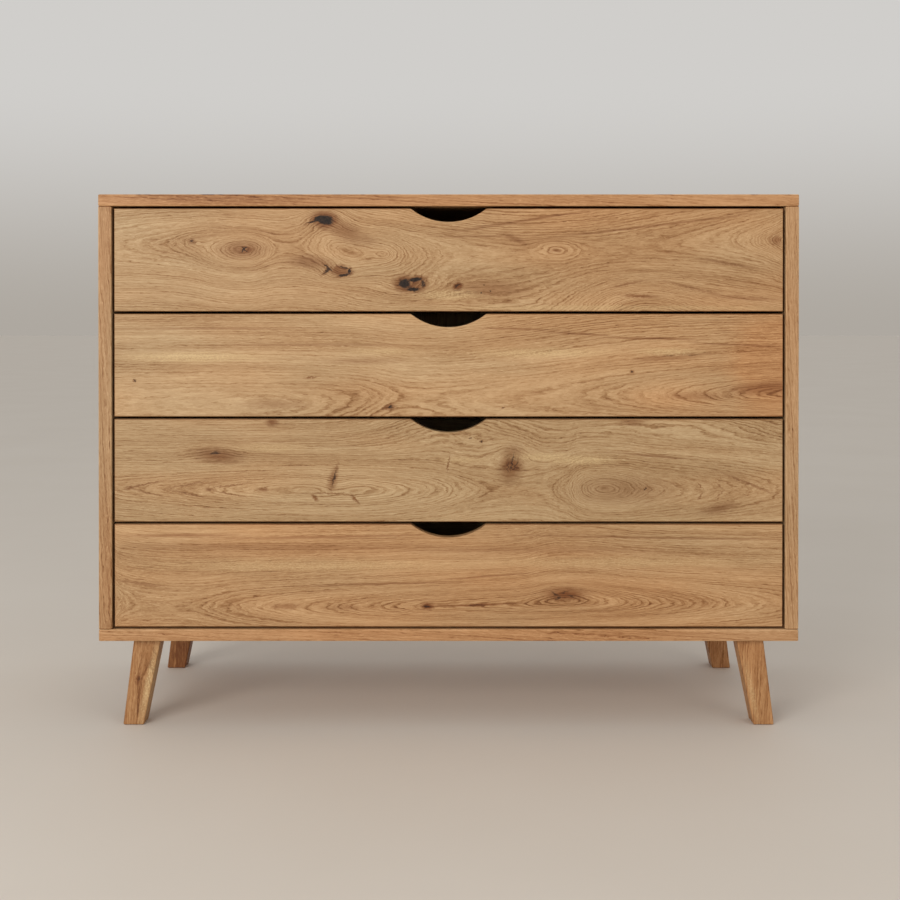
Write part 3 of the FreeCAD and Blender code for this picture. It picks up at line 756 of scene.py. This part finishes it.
def paint_carcass():
    for name, tone, seed in (("top_panel", 1.7, 51.0), ("bottom_panel", 0.85, 67.0)):
        paint_boards(f"oak_{name}", [name], "XYZ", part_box(name)[0], 0.1, slope=0.05, tone=tone,
                     warmth=0.6, contrast=1.45, seed=seed)
    for name, tone, warmth, seed in (("left_side_panel", 1.4, -0.2, 83.0),
                                     ("right_side_panel", 1.3, 0.15, 97.0)):
        low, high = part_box(name)
        paint_boards(f"oak_{name}", [name], "ZYX", low, 0.1, slope=0.05, tone=tone, warmth=warmth,
                     contrast=1.4, seed=seed, joint=high.z - low.z)
    # The legs' darker tones are partly their own colour and partly painted shade, for the shade
    # beneath the chest
    for name, tone, seed in (("leg_front_left", -1.3, 111.0), ("leg_front_right", -0.6, 124.0),
                             ("leg_rear_left", -1.2, 137.0), ("leg_rear_right", -1.5, 150.0)):
        paint_boards(f"oak_{name}", [name], "ZXY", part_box(name)[0], 0.3, pith_depth=20,
                     slope=0.1, spacing=4.0, tone=tone, warmth=0.7, seed=seed,
                     marks=LEG_MARKS.get(name, ()))
    paint_boards("oak_back_panel", ["back_panel"], "ZXY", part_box("back_panel")[0], 0.24,
                 pith_depth=45, slope=0.03, tone=0.4, warmth=0.25, seed=171.0, bump=0.15)


def paint_drawer_boxes():
    for number in range(1, DRAWERS + 1):
        prefix = f"drawer_{number}_"
        for part, axes in (("left_side", "YZX"), ("right_side", "YZX"), ("back", "XZY")):
            name = prefix + part
            paint_boards(f"oak_{name}", [name], axes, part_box(name)[0], 0.2, tone=0.7,
                         warmth=-0.2, seed=201.0 + 17 * number + len(part))
        name = prefix + "bottom"
        paint_boards(f"ply_{name}", [name], "XYZ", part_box(name)[0], 0.6, pith_depth=60,
                     slope=0.03, tone=1.1, warmth=-0.3, seed=301.0 + 19 * number, bump=0.1)
    paint_boards("beech_dowels", ["dowels"], "ZXY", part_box("dowels")[0], 0.3, tone=0.9, seed=401.0)


def metal(name, tone, roughness, brush, nodes):
    """Plated metal, brushed along Y, with faint cloudy stains."""
    material, graph, shader = new_material(name)
    place = graph.node("ShaderNodeTexCoord").outputs["Object"]
    scratches = graph.noise(graph.vector_math("MULTIPLY", place, brush), detail=3.0, roughness=0.6)
    clouds = graph.noise(place, scale=35.0, detail=3.0)
    scratched = graph.times(scratches, 0.12)
    shade = graph.add(0.85, scratched, graph.times(clouds, 0.12))
    graph.feed(shader.inputs["Base Color"],
               graph.mix(1.0, tone, graph.vector(shade, shade, shade), "MULTIPLY"))
    graph.feed(shader.inputs["Roughness"],
               graph.add(roughness - 0.1, scratched, graph.times(clouds, 0.08)))
    shader.inputs["Metallic"].default_value = 1.0
    relief = graph.node("ShaderNodeBump")
    relief.inputs["Strength"].default_value = 0.12
    relief.inputs["Distance"].default_value = 0.1 * MM
    graph.feed(relief.inputs["Height"], scratches)
    graph.feed(shader.inputs["Normal"], relief.outputs[0])
    paint(material, *nodes)


def paint_metal():
    rails, cages = [], []
    screws = ["back_panel_screws", "cabinet_rail_screws", "leg_bolts"]
    for number in range(1, DRAWERS + 1):
        rails += [f"cabinet_rail_{number}_left", f"cabinet_rail_{number}_right",
                  f"drawer_{number}_rails", f"drawer_{number}_middle_rails"]
        screws.append(f"drawer_{number}_screws")
        cages.append(f"drawer_{number}_ball_cages")
    metal("zinc_rails", srgb(196, 200, 204), 0.34, (900.0, 12.0, 900.0), rails)
    metal("zinc_screws", srgb(182, 184, 186), 0.30, (300.0, 300.0, 300.0), screws)
    metal("steel_cages", srgb(170, 172, 176), 0.25, (200.0, 200.0, 200.0), cages)
    metal("brass_inserts", srgb(206, 168, 96), 0.30, (300.0, 300.0, 60.0), ["leg_inserts"])


# Stage

def add_floor():
    bpy.ops.mesh.primitive_plane_add(size=FLOOR_SIZE, location=(0.0, 0.0, 0.0))
    floor = bpy.context.object
    floor.name = "stage_floor"
    material, graph, shader = new_material("pale_floor")
    place = graph.node("ShaderNodeTexCoord").outputs["Object"]
    clouds = graph.noise(place, scale=2.0, detail=3.0)
    graph.feed(shader.inputs["Base Color"],
               graph.mix(clouds, srgb(209, 201, 191), srgb(215, 208, 199)))
    shader.inputs["Roughness"].default_value = 0.7
    floor.data.materials.append(material)


def add_area_light(name, place, size, power, tone):
    """A soft light aimed at the middle of the chest."""
    data = bpy.data.lights.new(name, "AREA")
    data.shape = "RECTANGLE"
    data.size, data.size_y = size
    data.energy = power
    data.color = tone
    light = bpy.data.objects.new(name, data)
    light.location = place
    light.rotation_mode = "QUATERNION"
    light.rotation_quaternion = (LIGHT_TARGET - light.location).to_track_quat("-Z", "Y")
    bpy.context.scene.collection.objects.link(light)


def add_lights():
    """Soft window light from the front left, and a pale room that fades down to the floor."""
    world = bpy.data.worlds.new("studio")
    world.use_nodes = True
    graph = Graph(world.node_tree)
    direction = graph.node("ShaderNodeTexCoord").outputs["Generated"]
    lift = graph.rise(graph.parts(direction)[2], -0.02, 0.16)
    background = world.node_tree.nodes["Background"]
    graph.feed(background.inputs["Color"],
               graph.mix(lift, srgb(174, 168, 160), srgb(208, 206, 203)))
    background.inputs["Strength"].default_value = 1.0
    bpy.context.scene.world = world
    add_area_light("window", (-2.4, -4.4, 1.9), (2.6, 2.2), 138.0, (1.0, 0.985, 0.96))
    add_area_light("fill", (3.0, -3.8, 1.3), (2.4, 1.6), 30.0, (1.0, 0.97, 0.93))


def add_camera():
    """At the photograph's viewing angle, with part of its downward shift."""
    data = bpy.data.cameras.new("camera")
    data.lens = CAMERA_LENS
    data.sensor_width = SENSOR_WIDTH
    data.shift_y = CAMERA_SHIFT
    camera = bpy.data.objects.new("camera", data)
    camera.location = CAMERA_PLACE
    camera.rotation_euler = (math.pi / 2 - CAMERA_PITCH, 0.0, 0.0)
    bpy.context.scene.collection.objects.link(camera)
    bpy.context.scene.camera = camera


add_camera()
add_lights()
add_floor()
for number in FRONTS:
    paint_front(number)
paint_carcass()
paint_drawer_boxes()
paint_metal()
bpy.context.scene.view_settings.view_transform = "Standard"
